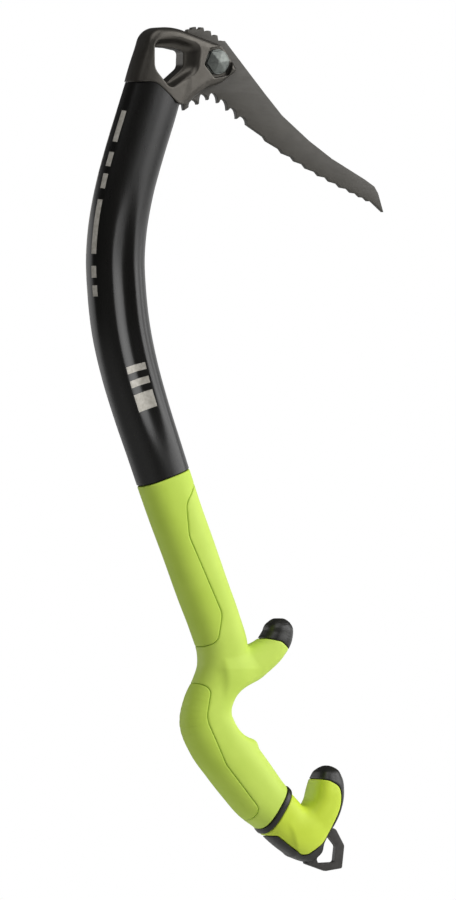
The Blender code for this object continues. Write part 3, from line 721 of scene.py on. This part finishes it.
def make_shaft(look, ink):
    """The tube: wide above the handle and swaged down inside it."""
    rings = tube_rings(resample(SHAFT_PATH, 120)) + tube_rings(resample(SWAGED_PATH, 60))
    shaft = skin("shaft_tube", rings)
    shaft.data.materials.append(look)
    shaft.data.materials.append(ink)
    print_bars(shaft.data, len(rings), BACK_BARS, BACK_BAR_SIDES)
    print_bars(shaft.data, len(rings), FRONT_BARS, FRONT_BAR_SIDES)
    boolean(shaft, prism("above_seam", seam_region(-GAP / 2, True), -30.0, 30.0))
    return finish_piece(shaft, None, "axe", ["shaft"], 40)


# ---------------------------------------------------------------- handle

BACK_PAD = (
    (-40.0, -225.0, 0),
    (40.0, -225.0, 0),
    (16.5, -243.0, 3),
    (8.0, -256.0, 10),
    (9.6, -275.0, 12),
    (30.4, -320.0, 10),
    (28.0, -336.5, 7),
    (17.0, -341.0, 5),
    (-40.0, -330.0, 0),
)
PALM_PAD = (
    (-30.0, -352.0, 0),
    (15.0, -358.4, 4),
    (24.0, -363.5, 5),
    (20.6, -381.0, 14),
    (33.0, -407.5, 14),
    (54.6, -433.6, 5),
    (51.0, -441.4, 3),
    (20.0, -470.0, 0),
    (-30.0, -440.0, 0),
)
CAP_SEAM = (
    (48.0, -334.2),
    (62.0, -334.6),
    (69.4, -336.2),
    (78.0, -342.6),
    (95.0, -342.6),
    (95.0, -310.0),
    (48.0, -310.0),
)
HANDLE_STEP = 0.55


def handle_fields(grid):
    """Outside of the handle and the core that lies under the pads."""
    outside = sweep(grid, HANDLE_PATH, 90, end_round=0.8, ends=(0.0, 9.0))
    outside = meet(outside, ring_side(grid, -RING_WIDTH / 2 - GAP), 0.8)
    core = sweep(grid, HANDLE_PATH, 90, grow=-PAD_DEPTH, ends=(6.0, 12.0))
    return outside, core


def make_chassis(look):
    grid = Grid((-20.0, -16.0, -452.0), (84.0, 16.0, -232.0), HANDLE_STEP)
    outside, core = handle_fields(grid)
    hook = sweep(grid, UPPER_HOOK_PATH, 40, end_round=2.0)
    hook = cut(hook, outline_field(grid, CAP_SEAM) - GAP / 2 + 0 * grid.y, SEAM_ROUND)
    ridge = sweep(grid, FINGER_RIDGE_PATH, 16, end_round=3.0)
    fillet = np.interp(grid.z, (-352.0, -343.0), (9.0, 2.4))
    body = join(join(outside, ridge, 2.4), hook, fillet)
    (middle_x, middle_z), (half_x, half_z) = FINGER_CROOK
    crook = np.sqrt(((grid.x - middle_x) / half_x) ** 2 + ((grid.z - middle_z) / half_z) ** 2) - 1.0
    body = cut(body, crook * half_z + 0 * grid.y, 5.0)
    for outline in (BACK_PAD, PALM_PAD):
        region = outline_field(grid, rounded(outline, 10)) - GAP / 2
        body = cut(body, np.maximum(region, -core), SEAM_ROUND)
    bore = sweep(grid, SWAGED_PATH, 60, grow=GAP, ends=(8.0, 14.0))
    body = np.maximum(body, -bore)
    piece = surface("handle_body", grid, body)
    return finish_piece(piece, look, "axe", ["handle_chassis"])


def make_pad(name, outline, box, node, look):
    """A soft pad that fills its pocket up to the outer surface of the handle."""
    grid = Grid(*box, MOULD_STEP)
    outside, core = handle_fields(grid)
    region = outline_field(grid, rounded(outline, 10)) + GAP / 2
    pad = meet(outside, region + 0 * grid.y, SEAM_ROUND)
    pad = np.maximum(pad, -(core - GAP))
    piece = surface(name, grid, pad)
    return finish_piece(piece, look, "axe", [node])


def make_cap(look):
    grid = Grid((44.0, -14.0, -348.0), (86.0, 14.0, -316.0), 0.35)
    hook = sweep(grid, UPPER_HOOK_PATH, 40, end_round=2.0)
    cap = meet(hook, outline_field(grid, CAP_SEAM) + GAP / 2 + 0 * grid.y, SEAM_ROUND)
    piece = surface("upper_hook_tip", grid, cap)
    return finish_piece(piece, look, "axe", ["upper_hook_cap"])


def make_ring(look):
    grid = Grid((48.0, -16.5, -452.0), (88.0, 16.5, -416.0), 0.35)
    ends = [tuple(RING_CENTRE + d * AXIS) + RING_SIZE for d in (-THROUGH, THROUGH)]
    ring = sweep(grid, ends, 2)
    half = RING_WIDTH / 2
    ring = meet(ring, np.abs(ring_side(grid, 0.0)) - half, 0.9)
    bore_size = (PLUG_SIZE[0] + 0.5, PLUG_SIZE[1] + 0.5)
    bore = sweep(grid, [on_axis(d) + bore_size for d in (-THROUGH, THROUGH)], 2)
    ring = np.maximum(ring, -bore)
    return finish_piece(surface("spacer", grid, ring), look, "axe", ["spacer_ring"])


# ---------------------------------------------------------------- lower hook unit

FRAME_SEAM = (
    (50.0, -449.6, 0),
    (67.4, -449.2, 2),
    (84.4, -461.8, 6),
    (97.0, -453.0, 12),
    (107.2, -431.0, 20),
    (105.6, -420.6, 6),
    (99.0, -417.2, 10),
    (80.0, -413.6, 0),
    (80.0, -395.0, 0),
    (140.0, -395.0, 0),
    (140.0, -490.0, 0),
    (50.0, -490.0, 0),
)
SPIKE_OUTLINE = (
    (90.0, -461.5, 1),
    (96.5, -452.5, 2),
    (103.0, -447.0, 2),
    (106.5, -443.0, 3),
    (113.4, -455.4, 3),
    (111.9, -468.6, 1.2),
    (101.5, -470.2, 3),
    (88.0, -465.6, 1),
)
SPIKE_HOLE = (
    (102.9, -449.4, 1.2),
    (107.9, -455.4, 2),
    (106.8, -465.0, 1.6),
    (96.4, -465.4, 1.2),
    (95.6, -463.2, 1.5),
)
SPIKE_SLOT = (
    (88.0, -459.0),
    (96.0, -450.0),
    (109.5, -440.5),
    (130.0, -440.5),
    (130.0, -490.0),
    (88.0, -490.0),
)
SPIKE_HALF = 2.0


def pommel_fields(grid):
    """Outside of the lower hook unit and the distance to the seam between its two pieces."""
    body = sweep(grid, POMMEL_BODY_PATH, 30, end_round=2.0, ends=(12.0, 0.0))
    hook = sweep(grid, LOWER_HOOK_PATH, 50, end_round=1.5, power=LOWER_HOOK_ROUND)
    outside = join(body, hook, 5.0)
    outside = meet(outside, -ring_side(grid, RING_WIDTH / 2 + GAP), 0.8)
    slot = np.maximum(outline_field(grid, SPIKE_SLOT), np.abs(grid.y) - SPIKE_HALF - GAP)
    shank = rod_field(grid, on_axis(5.0), on_axis(50.0), SCREW_RADIUS + GAP)
    seat = rod_field(grid, on_axis(SCREW_SEAT - GAP), on_axis(60.0), SCREW_HEAD_RADIUS + 0.35)
    outside = cut(outside, np.minimum(slot, np.minimum(shank, seat)), 0.3)
    return outside, outline_field(grid, rounded(FRAME_SEAM, 8)) + 0 * grid.y


def make_hook(look):
    grid = Grid((50.0, -16.0, -474.0), (116.0, 16.0, -402.0), MOULD_STEP)
    outside, seam = pommel_fields(grid)
    hook = cut(outside, seam - GAP / 2, SEAM_ROUND)
    socket_size = (PLUG_SIZE[0] + GAP, PLUG_SIZE[1] + GAP)
    socket = sweep(grid, [on_axis(d) + socket_size for d in (0.0, THROUGH + GAP)], 2)
    hook = np.maximum(hook, -socket)
    return finish_piece(surface("hook_body", grid, hook), look, "hook_unit", ["lower_hook"])


def make_frame(look):
    grid = Grid((46.0, -16.0, -476.0), (118.0, 16.0, -402.0), MOULD_STEP)
    outside, seam = pommel_fields(grid)
    piece = surface("hook_base", grid, meet(outside, seam + GAP / 2, SEAM_ROUND))
    return finish_piece(piece, look, "hook_unit", ["hook_frame"])


def make_spike(look):
    spike = plate("leash_loop", rounded(SPIKE_OUTLINE, 8), SPIKE_HALF, 0.4)
    boolean(spike, prism("loop_hole", rounded(SPIKE_HOLE, 8), -5.0, 5.0))
    return finish_piece(spike, look, "hook_unit", ["spike_loop"], 30)


# ---------------------------------------------------------------- fasteners


def make_bolt(look):
    """Pick bolt: a hexagon whose face rises in six facets, on a plain shank."""
    grid = Grid((BOLT[0] - 9.0, -11.2, BOLT[1] - 9.0), (BOLT[0] + 9.0, 10.0, BOLT[1] + 9.0), FINE_STEP)
    near, rim, top = 6.1, 6.9, 8.4  # how far out the head starts, its facets' edge lies, and it ends
    turn = math.radians(7.0)
    side = outline_field(grid, hexagon(BOLT, BOLT_FLATS - 0.4, turn)) + 0 * grid.y
    head = np.maximum(side, grid.y + near)
    tilt = math.atan((top - rim) / (BOLT_FLATS / 2 - 0.8))
    for k in range(6):
        angle = turn + math.pi * (k + 0.5) / 3
        out = (grid.x - BOLT[0]) * math.cos(angle) + (grid.z - BOLT[1]) * math.sin(angle)
        facet = (out - 0.8) * math.sin(tilt) + (-grid.y - top) * math.cos(tilt)
        head = meet(head, facet, 0.12)
    head = np.maximum(head, -grid.y - top)
    shank = meet(from_bolt(grid) - BOLT_RADIUS, np.abs(grid.y - 1.0) - 8.4, 0.6)
    bolt = np.minimum(head, shank)
    return finish_piece(surface("bolt_and_head", grid, bolt), look, "bolt", ["pick_bolt"])


def make_nut(look):
    """Hex nut in the far pocket, its outer face chamfered by a cone."""
    grid = Grid((BOLT[0] - 9.0, 4.0, BOLT[1] - 9.0), (BOLT[0] + 9.0, 10.0, BOLT[1] + 9.0), FINE_STEP)
    near, far = POCKET_FLOOR + GAP, POCKET_FLOOR + GAP + NUT_THICK
    side = outline_field(grid, hexagon(BOLT, BOLT_FLATS, POCKET_TURN)) + 0 * grid.y
    radius = from_bolt(grid)
    cone = (radius - BOLT_FLATS / 2 + (grid.y - far) * 1.7) * 0.5 - 0.1
    nut = meet(meet(side, np.maximum(near - grid.y, grid.y - far), 0.3), cone, 0.3)
    nut = cut(nut, radius - BOLT_RADIUS - GAP + 0 * grid.y, 0.3)
    return finish_piece(surface("hex_nut", grid, nut), look, "axe", ["pick_nut"])


def make_washer(look):
    grid = Grid((BOLT[0] - 8.4, -6.6, BOLT[1] - 8.4), (BOLT[0] + 8.4, -4.0, BOLT[1] + 8.4), 0.2)
    radius = from_bolt(grid) + 0 * grid.y
    middle = (WASHER_RADIUS + BOLT_RADIUS + GAP) / 2
    level = POCKET_FLOOR + GAP + WASHER_THICK / 2
    ring = np.abs(radius - middle) - (WASHER_RADIUS - middle)
    washer = meet(ring, np.abs(grid.y + level) - WASHER_THICK / 2, 0.3)
    piece = surface("washer", grid, washer)
    return finish_piece(piece, look, "bolt_washer", ["pick_bolt_washer"])


def make_screw(look):
    """Socket screw at the foot, with a six-sided key hole in its head."""
    grid = Grid((64.0, -5.4, -462.0), (92.0, 5.4, -430.0), 0.22)
    screw = rod_field(grid, on_axis(-0.1), on_axis(SCREW_SEAT + GAP), SCREW_RADIUS)
    top = SCREW_SEAT + SCREW_HEAD_THICK
    screw = np.minimum(screw, rod_field(grid, on_axis(SCREW_SEAT), on_axis(top), SCREW_HEAD_RADIUS))
    along = (grid.x - AXIS_POINT[0]) * AXIS[0] + (grid.z - AXIS_POINT[1]) * AXIS[1]
    across = (grid.z - AXIS_POINT[1]) * AXIS[0] - (grid.x - AXIS_POINT[0]) * AXIS[1]
    key = top - KEY_DEPTH - along + 0 * grid.y
    for k in range(6):
        angle = math.pi * k / 3
        key = np.maximum(key, across * math.cos(angle) + grid.y * math.sin(angle) - KEY_HALF)
    screw = np.maximum(screw, -key)
    piece = surface("socket_screw", grid, screw)
    return finish_piece(piece, look, "foot_screw", ["pommel_screw"])


# ---------------------------------------------------------------- materials


def srgb(red, green, blue):
    """A colour given as it is seen on a screen, from 0 to 255, as linear light."""
    shares = [c / 255 for c in (red, green, blue)]
    return [((c + 0.055) / 1.055) ** 2.4 if c > 0.04 else c / 12.92 for c in shares]


class Look:
    """A material whose colour, roughness and relief come from noise fixed to the piece."""

    def __init__(self, name, roughness, metallic=0.0, specular=0.5):
        self.material = bpy.data.materials.new(name)
        self.material.use_nodes = True
        self.nodes = self.material.node_tree.nodes
        self.links = self.material.node_tree.links
        self.shader = self.nodes["Principled BSDF"]
        self.shader.inputs["Roughness"].default_value = roughness
        self.shader.inputs["Metallic"].default_value = metallic
        self.shader.inputs["Specular IOR Level"].default_value = specular
        self.place = self.nodes.new("ShaderNodeTexCoord").outputs["Object"]

    def noise(self, scale, detail=3.0, roughness=0.6, stretch=None):
        """Noise with features about 1/scale metres wide, drawn out by stretch."""
        texture = self.nodes.new("ShaderNodeTexNoise")
        texture.inputs["Scale"].default_value = scale
        texture.inputs["Detail"].default_value = detail
        texture.inputs["Roughness"].default_value = roughness
        source = self.place
        if stretch is not None:
            mapping = self.nodes.new("ShaderNodeMapping")
            mapping.inputs["Scale"].default_value = stretch
            self.links.new(self.place, mapping.inputs["Vector"])
            source = mapping.outputs["Vector"]
        self.links.new(source, texture.inputs["Vector"])
        return texture.outputs["Fac"]

    def spread(self, value, low, high):
        """Maps the middle of a noise to the range from low to high."""
        ranged = self.nodes.new("ShaderNodeMapRange")
        ranged.inputs["From Min"].default_value = 0.3
        ranged.inputs["From Max"].default_value = 0.7
        ranged.inputs["To Min"].default_value = low
        ranged.inputs["To Max"].default_value = high
        self.links.new(value, ranged.inputs["Value"])
        return ranged.outputs["Result"]

    def colour(self, value, first, second):
        """Colour that runs from first to second with a noise."""
        ramp = self.nodes.new("ShaderNodeValToRGB")
        ramp.color_ramp.elements[0].position = 0.35
        ramp.color_ramp.elements[1].position = 0.65
        ramp.color_ramp.elements[0].color = (*first, 1.0)
        ramp.color_ramp.elements[1].color = (*second, 1.0)
        self.links.new(value, ramp.inputs["Fac"])
        self.links.new(ramp.outputs["Color"], self.shader.inputs["Base Color"])
        return ramp.outputs["Color"]

    def rough(self, value, low, high):
        self.links.new(self.spread(value, low, high), self.shader.inputs["Roughness"])

    def relief(self, value, height, strength=1.0):
        """Bumps of that height in metres."""
        bump = self.nodes.new("ShaderNodeBump")
        bump.inputs["Strength"].default_value = strength
        bump.inputs["Distance"].default_value = height
        self.links.new(value, bump.inputs["Height"])
        previous = self.shader.inputs["Normal"].links
        if previous:
            self.links.new(previous[0].from_socket, bump.inputs["Normal"])
        self.links.new(bump.outputs["Normal"], self.shader.inputs["Normal"])


def cast_steel():
    """Painted casting: a satin skin with a fine sandy grain."""
    look = Look("cast_steel", 0.38, 0.75, 0.5)
    look.colour(look.noise(160.0, 4.0), srgb(76, 73, 68), srgb(83, 80, 75))
    look.rough(look.noise(900.0, 2.0), 0.34, 0.42)
    look.relief(look.noise(2600.0, 2.0), 0.00003, 0.5)
    return look.material


def pick_steel():
    """Plate steel with a dull dark finish and faint grinding marks along the blade."""
    look = Look("pick_steel", 0.45, 0.0, 0.5)
    look.colour(look.noise(120.0, 4.0), srgb(64, 61, 55), srgb(70, 67, 61))
    look.rough(look.noise(700.0, 2.0, stretch=(0.2, 1.0, 1.0)), 0.40, 0.55)
    look.relief(look.noise(2200.0, 2.0, stretch=(0.25, 1.0, 1.0)), 0.00002, 0.5)
    return look.material


def fastener_steel():
    look = Look("fastener_steel", 0.34, 0.6, 0.5)
    look.colour(look.noise(500.0, 3.0), srgb(96, 100, 97), srgb(112, 116, 112))
    look.rough(look.noise(1500.0, 2.0), 0.28, 0.42)
    look.relief(look.noise(3500.0, 2.0), 0.00001, 0.5)
    return look.material


def loop_steel():
    """The leash loop: blackened steel, worn a little lighter in places."""
    look = Look("loop_steel", 0.4, 0.2, 0.5)
    look.colour(look.noise(300.0, 4.0), srgb(52, 50, 48), srgb(64, 62, 60))
    look.rough(look.noise(1100.0, 2.0), 0.34, 0.46)
    look.relief(look.noise(2600.0, 2.0), 0.00002, 0.5)
    return look.material


def anodised_black():
    """Drawn tube, anodised near black, with faint marks along its length."""
    look = Look("anodised_black", 0.3, 0.0, 0.5)
    streaks = look.noise(60.0, 4.0, stretch=(1.0, 1.0, 0.15))
    look.colour(streaks, (0.0030, 0.0028, 0.0024), (0.0045, 0.0042, 0.0036))
    look.rough(look.noise(900.0, 3.0, stretch=(1.0, 1.0, 0.08)), 0.27, 0.30)
    look.relief(look.noise(3000.0, 2.0), 0.000004, 0.5)
    return look.material


def shaft_ink():
    """Pale grey print on the tube."""
    look = Look("shaft_ink", 0.5, 0.0, 0.3)
    look.colour(look.noise(400.0, 3.0), srgb(170, 166, 156), srgb(196, 192, 184))
    look.rough(look.noise(1200.0, 2.0), 0.45, 0.6)
    return look.material


def lime_plastic(name, first, second, roughness, grain):
    """Moulded lime plastic with a soft, finely textured skin."""
    look = Look(name, roughness, 0.0, 0.3)
    look.colour(look.noise(45.0, 4.0), first, second)
    look.rough(look.noise(1200.0, 2.0), roughness - 0.05, roughness + 0.06)
    look.relief(look.noise(2400.0, 3.0, 0.7), grain, 0.6)
    return look.material


def black_plastic():
    look = Look("black_plastic", 0.4, 0.0, 0.5)
    look.colour(look.noise(150.0, 4.0), srgb(26, 26, 23), srgb(34, 34, 30))
    look.rough(look.noise(900.0, 2.0), 0.33, 0.45)
    look.relief(look.noise(2600.0, 3.0, 0.7), 0.00002, 0.6)
    return look.material


def plug_alloy():
    look = Look("plug_alloy", 0.4, 1.0)
    look.colour(look.noise(300.0), srgb(190, 190, 188), srgb(204, 204, 202))
    look.rough(look.noise(900.0, stretch=(1.0, 0.1, 1.0)), 0.32, 0.48)
    return look.material


# ---------------------------------------------------------------- light and camera

VIEW_AZIMUTH = math.radians(-24.0)  # direction of the camera round the axe; 0 is straight at its side
LENS = 700.0  # long, so that the picture is nearly without perspective
SENSOR = 36.0
VIEW_HEIGHT = 0.522  # height of the picture at the axe, in metres
VIEW_CENTRE = (0.0365, -0.225)  # middle of the picture: offset to the right of the clip hole, and Z


def bearing(azimuth, elevation):
    """Direction from the axe towards an azimuth and elevation in degrees."""
    a, e = math.radians(azimuth), math.radians(elevation)
    return Vector((math.sin(a) * math.cos(e), -math.cos(a) * math.cos(e), math.sin(e)))


def make_camera():
    right = Vector((math.cos(VIEW_AZIMUTH), math.sin(VIEW_AZIMUTH), 0.0))
    back = Vector((math.sin(VIEW_AZIMUTH), -math.cos(VIEW_AZIMUTH), 0.0))
    target = right * VIEW_CENTRE[0] + Vector((0.0, 0.0, VIEW_CENTRE[1]))
    data = bpy.data.cameras.new("camera")
    data.lens = LENS
    data.sensor_width = SENSOR
    data.clip_end = 50.0
    camera = bpy.data.objects.new("camera", data)
    bpy.context.scene.collection.objects.link(camera)
    camera.location = target + back * (VIEW_HEIGHT * LENS / SENSOR)
    camera.rotation_mode = "QUATERNION"
    camera.rotation_quaternion = (-back).to_track_quat("-Z", "Y")
    bpy.context.scene.camera = camera


def softbox(name, azimuth, elevation, distance, width, height, radiance):
    """A large even light that faces the middle of the axe."""
    data = bpy.data.lights.new(name, "AREA")
    data.shape = "RECTANGLE"
    data.size, data.size_y = width, height
    data.energy = radiance * math.pi * width * height
    light = bpy.data.objects.new(name, data)
    bpy.context.scene.collection.objects.link(light)
    away = bearing(azimuth, elevation)
    light.location = Vector((0.03, 0.0, -0.225)) + away * distance
    light.rotation_mode = "QUATERNION"
    light.rotation_quaternion = (-away).to_track_quat("-Z", "Y")
    light.visible_camera = False


def make_world(ambient):
    """Pale surroundings: white to the eye, dimmer as a source of light."""
    world = bpy.data.worlds.new("studio")
    world.use_nodes = True
    nodes, links = world.node_tree.nodes, world.node_tree.links
    nodes.clear()
    seen, cast = nodes.new("ShaderNodeBackground"), nodes.new("ShaderNodeBackground")
    seen.inputs["Color"].default_value = (1.0, 1.0, 1.0, 1.0)
    cast.inputs["Color"].default_value = (ambient, ambient, ambient, 1.0)
    path, mix = nodes.new("ShaderNodeLightPath"), nodes.new("ShaderNodeMixShader")
    out = nodes.new("ShaderNodeOutputWorld")
    links.new(path.outputs["Is Camera Ray"], mix.inputs["Fac"])
    links.new(cast.outputs["Background"], mix.inputs[1])
    links.new(seen.outputs["Background"], mix.inputs[2])
    links.new(mix.outputs["Shader"], out.inputs["Surface"])
    bpy.context.scene.world = world


def make_floor():
    """A plain pale floor well below the axe."""
    half, depth = 2.0, 0.62
    mesh = bpy.data.meshes.new("floor")
    corners = [(-half, -half, -depth), (half, -half, -depth), (half, half, -depth), (-half, half, -depth)]
    mesh.from_pydata(corners, [], [(0, 1, 2, 3)])
    floor = bpy.data.objects.new("floor", mesh)
    bpy.context.scene.collection.objects.link(floor)
    look = Look("pale_floor", 0.8)
    look.colour(look.noise(3.0), (0.80, 0.80, 0.79), (0.83, 0.83, 0.82))
    mesh.materials.append(look.material)


# ---------------------------------------------------------------- the axe

CAST = cast_steel()
PLATE = pick_steel()
STEEL = fastener_steel()
BLACK = anodised_black()
LIME = lime_plastic("lime_moulding", srgb(200, 227, 92), srgb(206, 232, 99), 0.5, 0.000012)
LIME_SOFT = lime_plastic("lime_soft_pad", srgb(196, 224, 84), srgb(202, 229, 91), 0.56, 0.00002)
LIME_HOOK = lime_plastic("lime_hook", srgb(206, 228, 66), srgb(212, 234, 74), 0.46, 0.00001)
PLASTIC = black_plastic()

make_head(CAST)
make_pick(PLATE)
make_bolt(STEEL)
make_nut(STEEL)
make_washer(STEEL)
make_shaft(BLACK, shaft_ink())
make_chassis(LIME)
BACK_BOX = ((-20.0, -15.0, -344.0), (42.0, 15.0, -232.0))
PALM_BOX = ((8.0, -16.0, -446.0), (60.0, 16.0, -352.0))
make_pad("back_grip", BACK_PAD, BACK_BOX, "back_pad", LIME_SOFT)
make_pad("palm_grip", PALM_PAD, PALM_BOX, "palm_pad", LIME_SOFT)
make_cap(PLASTIC)
make_ring(PLASTIC)
make_hook(LIME_HOOK)
make_frame(PLASTIC)
make_spike(loop_steel())
make_screw(STEEL)
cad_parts["shaft_end_insert"].data.materials.clear()
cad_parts["shaft_end_insert"].data.materials.append(plug_alloy())

make_world(0.06)
make_floor()
softbox("key_right", 51.0, 25.0, 1.8, 1.8, 1.6, 3.6)
softbox("top_left", -40.0, 62.0, 1.8, 1.6, 1.6, 1.8)
softbox("back_left", -149.0, 0.0, 1.8, 2.0, 0.9, 0.9)
softbox("back_right", 101.0, 0.0, 1.8, 2.0, 0.9, 1.2)
make_camera()
bpy.context.scene.view_settings.view_transform = "Standard"
